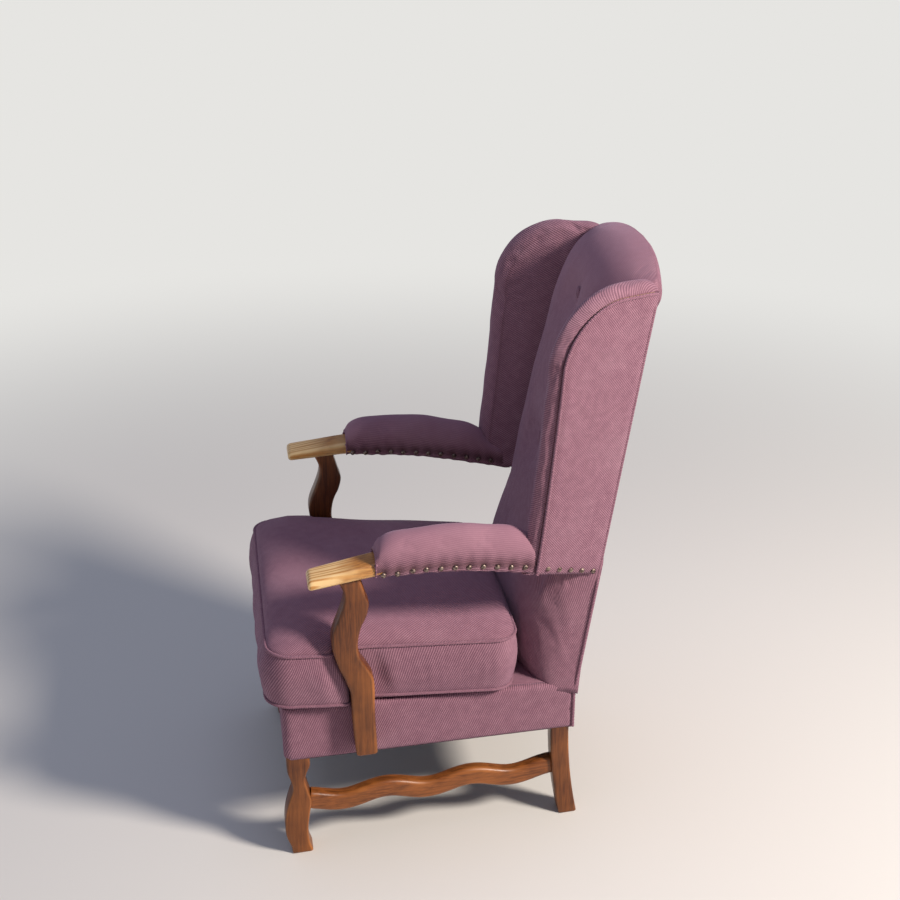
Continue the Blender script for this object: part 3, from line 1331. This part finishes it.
def set_stage():
    """Pale floor disc. Away from the chair it fades into the backdrop's colour, so that no horizon shows."""
    tree, finish = new_material("pale matt floor")
    material = finish(Base_Color=linear("#dedcd8"), Roughness=0.9)
    away = maths(tree, "LENGTH", object_space(tree), kind="ShaderNodeVectorMath")
    fade = remap(tree, away.outputs["Value"], 1.1, 3.6, interpolation_type="SMOOTHSTEP")
    backdrop = add(tree, "ShaderNodeEmission", {"Color": linear(backdrop_colour), "Strength": 1.0})
    mixed = add(tree, "ShaderNodeMixShader", {"Fac": fade, 1: tree.nodes["Principled BSDF"], 2: backdrop})
    feed(tree, tree.nodes["Material Output"], {"Surface": mixed})
    turn = np.linspace(0, 2 * math.pi, 65)[:-1]
    ring = np.stack([40 * np.cos(turn), 40 * np.sin(turn), 0 * turn], -1)
    mesh = bpy.data.meshes.new("pale_floor")
    mesh.from_pydata(ring.tolist(), [], [tuple(range(len(ring)))])
    mesh.materials.append(material)
    linked("pale_floor", mesh)


def aim(thing, location, forward, right):
    """Places a lamp or camera so that it looks forward, with another direction on the right of its view."""
    forward = unit(forward)
    right = unit(right - forward * right.dot(forward))
    axes = np.stack([right, np.cross(right, forward), -forward, location], -1)
    thing.matrix_world = Matrix(axes.tolist() + [[0, 0, 0, 1]])


def add_lamp(name, location, target, size, power, colour):
    """Round area lamp that looks at a target."""
    lamp = bpy.data.lights.new(name, "AREA")
    lamp.shape = "DISK"
    lamp.size = size
    lamp.energy = power
    lamp.color = linear(colour)[:3]
    forward = np.array(target, float) - location
    aim(linked(name, lamp), location, forward, np.cross(forward, (0, 0, 1)))


def set_camera():
    """Camera at the photograph's place and angle, solved from the wall behind the chair and the chair."""
    data = bpy.data.cameras.new("camera")
    data.lens = 62.27
    data.sensor_width = 36.0
    data.sensor_fit = "HORIZONTAL"
    camera = linked("camera", data)
    bpy.context.scene.camera = camera
    aim(camera, (2.6673, seat_front_y - 0.083, 1.8788), np.array((-0.90505, 0.14426, -0.40009)),
        np.array((0.15479, 0.98793, 0.00606)))


def set_light():
    """Soft key from the chair's left and a little behind it, a weak fill in front, and a plain pale world."""
    world = bpy.data.worlds.new("studio")
    bpy.context.scene.world = world
    world.use_nodes = True
    tree = world.node_tree
    around = tree.nodes["Background"]
    feed(tree, around, {"Color": linear("#dde4fb"), "Strength": 0.23})
    seen = add(tree, "ShaderNodeBackground", {"Color": linear(backdrop_colour), "Strength": 1.0})
    camera_ray = add(tree, "ShaderNodeLightPath").outputs["Is Camera Ray"]
    mixed = add(tree, "ShaderNodeMixShader", {"Fac": camera_ray, 1: around, 2: seen})
    feed(tree, tree.nodes["World Output"], {"Surface": mixed})
    add_lamp("key", (2.4, 3.15, 3.3), (0, 0, 0.6), size=1.0, power=315, colour="#fff4e8")
    add_lamp("overhead", (-0.4, -0.6, 4.4), (0, 0, 0.5), size=3.6, power=30, colour="#d8e1ff")
    add_lamp("fill", (0.5, -3.6, 2.4), (0, 0, 0.5), size=3.0, power=6, colour="#dfe6ff")
    bpy.context.scene.view_settings.view_transform = "Standard"


def dress_hidden_nodes():
    """Gives every carried-over solid its own finish."""
    finishes = {"frame_wood": raw_beech, "lining": dust_lining, "webbing": jute, "steel": steel,
                "show_wood": upright_beech, "handle_wood": handle_beech, "fabric": twill}
    slots = {part["node"]: part["material_slot"] for part in frame["record"]["subparts"]}
    for name, node in frame["nodes"].items():
        finish = finishes[slots[name]]
        if not node.data.materials:
            node.data.materials.append(finish)
        for slot in node.material_slots:
            slot.material = finish


set_camera()
dress_hidden_nodes()
for label, side in SIDES:
    for build in (front_leg, rear_post, side_stretcher, arm_support, arm_board):
        build(f"{build.__name__}_{label}", side)
    for build in (wing_pad, wing_outside, arm_pad):
        build(label, side)
for build in (deck_cloth, under_lining, seat_cushion, inner_back, outside_back, rail_cover, nail_rows, buttons,
              set_stage, set_light):
    build()
